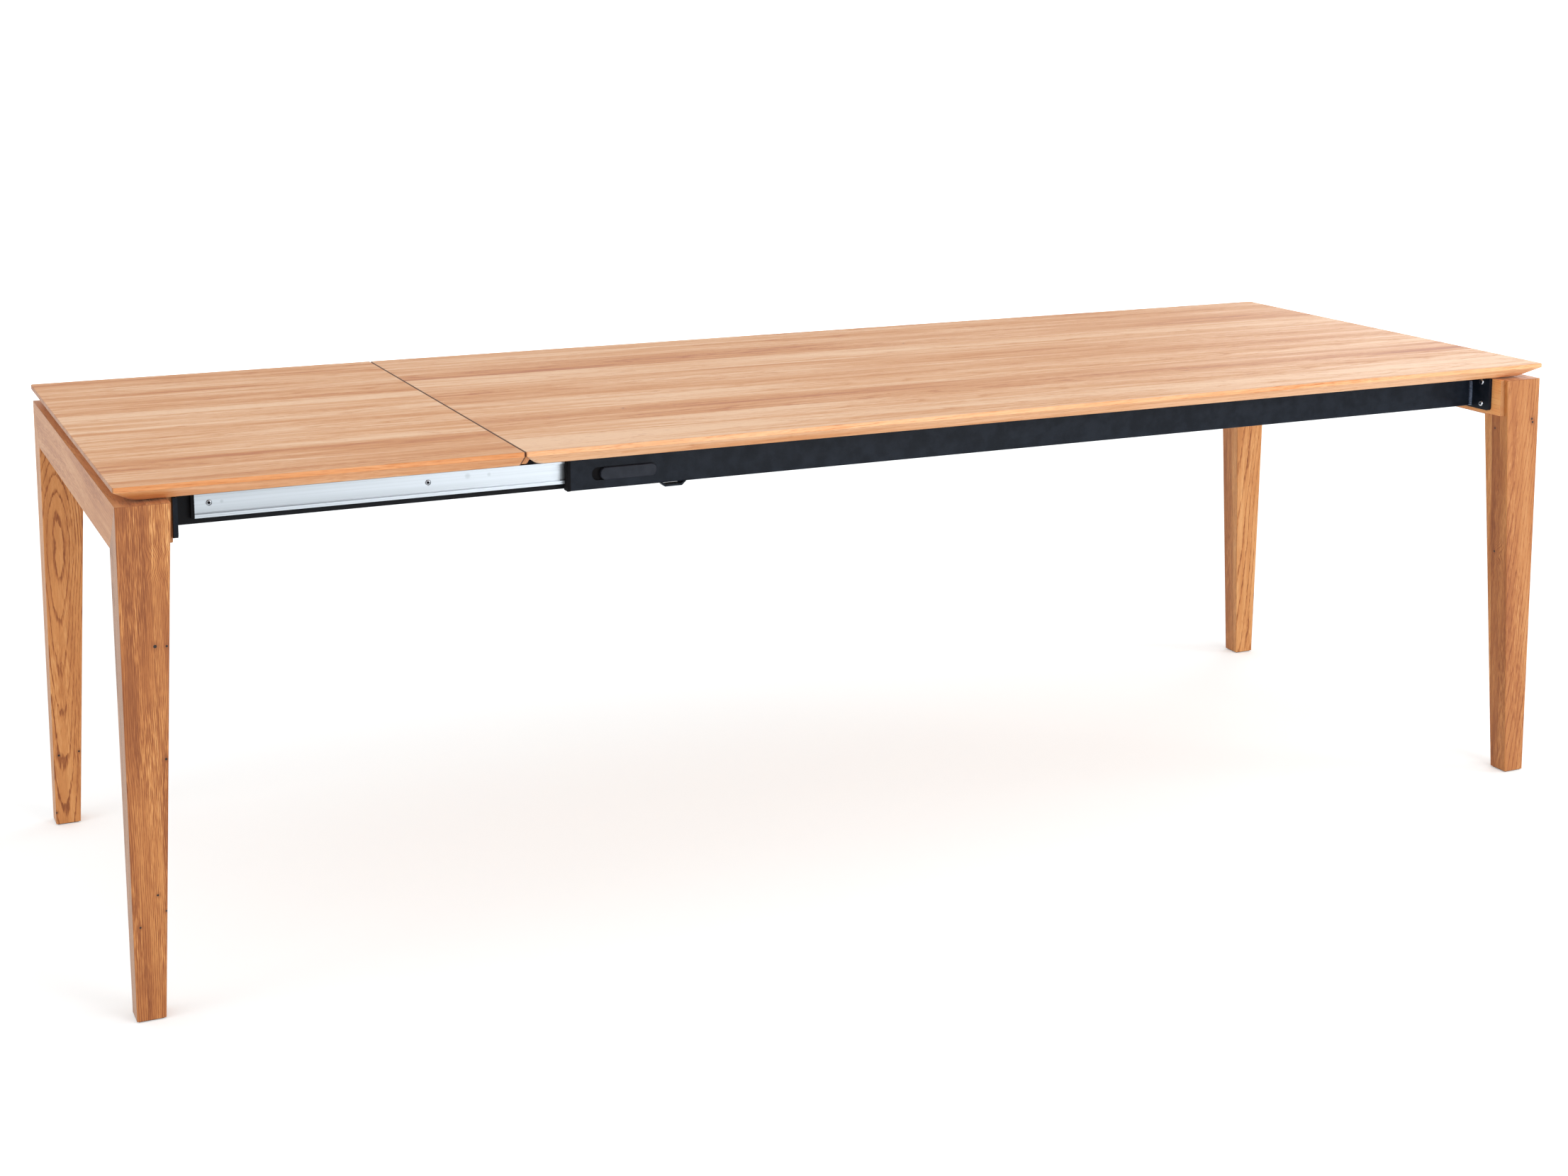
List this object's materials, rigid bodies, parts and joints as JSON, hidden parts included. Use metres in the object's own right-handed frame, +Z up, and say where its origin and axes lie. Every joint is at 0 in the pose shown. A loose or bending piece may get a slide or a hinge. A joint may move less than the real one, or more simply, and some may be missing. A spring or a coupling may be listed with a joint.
{
  "type": "draw leaf table",
  "caption": "Extending dining table with a beveled oak top, tapered mitred legs, a lift-off end leaf and an end frame that draws out on steel beams.",
  "frame": {"origin": "on the floor under the middle of the extended table", "axes": "+X along the length towards the fixed end, -Y towards the side whose latch the picture shows, +Z up"},
  "size_m": [2.4766, 0.9, 0.76],
  "materials": {
    "oak_top": "oiled oak boards, satin",
    "oak_frame": "oiled solid oak, satin",
    "black_steel": "fine-textured black powder coat",
    "aluminium": "drawn, clear anodised",
    "zinc": "bright zinc plate",
    "weld": "weld bead under black powder coat",
    "black_plastic": "moulded, matt",
    "rubber": "matt",
    "felt": "pressed felt"
  },
  "bodies": {
    "fixed_end": {"cross_rails": "black_steel", "front_glide_blocks": "black_plastic", "front_keeper_strap": "black_steel", "front_mouth_guide": "black_plastic", "front_outer_beam": "black_steel", "joint_lipping": "oak_top", "locating_plates": "black_steel", "locating_screws": "zinc", "main_top": "oak_top", "rear_glide_blocks": "black_plastic", "rear_keeper_strap": "black_steel", "rear_mouth_guide": "black_plastic", "rear_outer_beam": "black_steel", "right_batten": "oak_frame", "right_end_rail": "oak_frame", "right_flange_screws": "zinc", "right_floor_glides": "felt", "right_front_flange": "black_steel", "right_front_leg": "oak_frame", "right_rail_pads": "rubber", "right_rear_flange": "black_steel", "right_rear_leg": "oak_frame", "right_weld_beads": "weld", "spacer_screws": "zinc", "top_screws": "zinc", "top_spacers": "black_plastic"},
    "drawn_end": {"front_inner_beam": "black_steel", "front_slide_rail": "aluminium", "inner_beam_caps": "black_plastic", "inner_cross_ties": "black_steel", "leaf_bearers": "black_plastic", "left_batten": "oak_frame", "left_end_rail": "oak_frame", "left_flange_screws": "zinc", "left_floor_glides": "felt", "left_front_flange": "black_steel", "left_front_leg": "oak_frame", "left_rail_pads": "rubber", "left_rear_flange": "black_steel", "left_rear_leg": "oak_frame", "left_weld_beads": "weld", "rear_inner_beam": "black_steel", "rear_slide_rail": "aluminium", "slide_end_blocks": "black_plastic", "slide_rail_screws": "zinc", "slide_stops": "black_plastic"},
    "leaf": {"leaf": "oak_top"},
    "front_latch": {"front_brake_shoe": "rubber", "front_latch_knob": "black_plastic", "front_latch_slider": "black_steel"},
    "rear_latch": {"rear_brake_shoe": "rubber", "rear_latch_knob": "black_plastic", "rear_latch_slider": "black_steel"}
  },
  "joints": [
    {"name": "end_draw", "type": "slide", "parent": "fixed_end", "child": "drawn_end", "axis": [1, 0, 0], "range_m": [0, 0.5765]},
    {"name": "leaf_lift", "type": "slide", "parent": "fixed_end", "child": "leaf", "axis": [0, 0, 1], "range_m": [0, 0.2]},
    {"name": "front_latch_slide", "type": "slide", "parent": "fixed_end", "child": "front_latch", "axis": [-1, 0, 0], "range_m": [0, 0.0125]},
    {"name": "rear_latch_slide", "type": "slide", "parent": "fixed_end", "child": "rear_latch", "axis": [-1, 0, 0], "range_m": [0, 0.0125]}
  ]
}
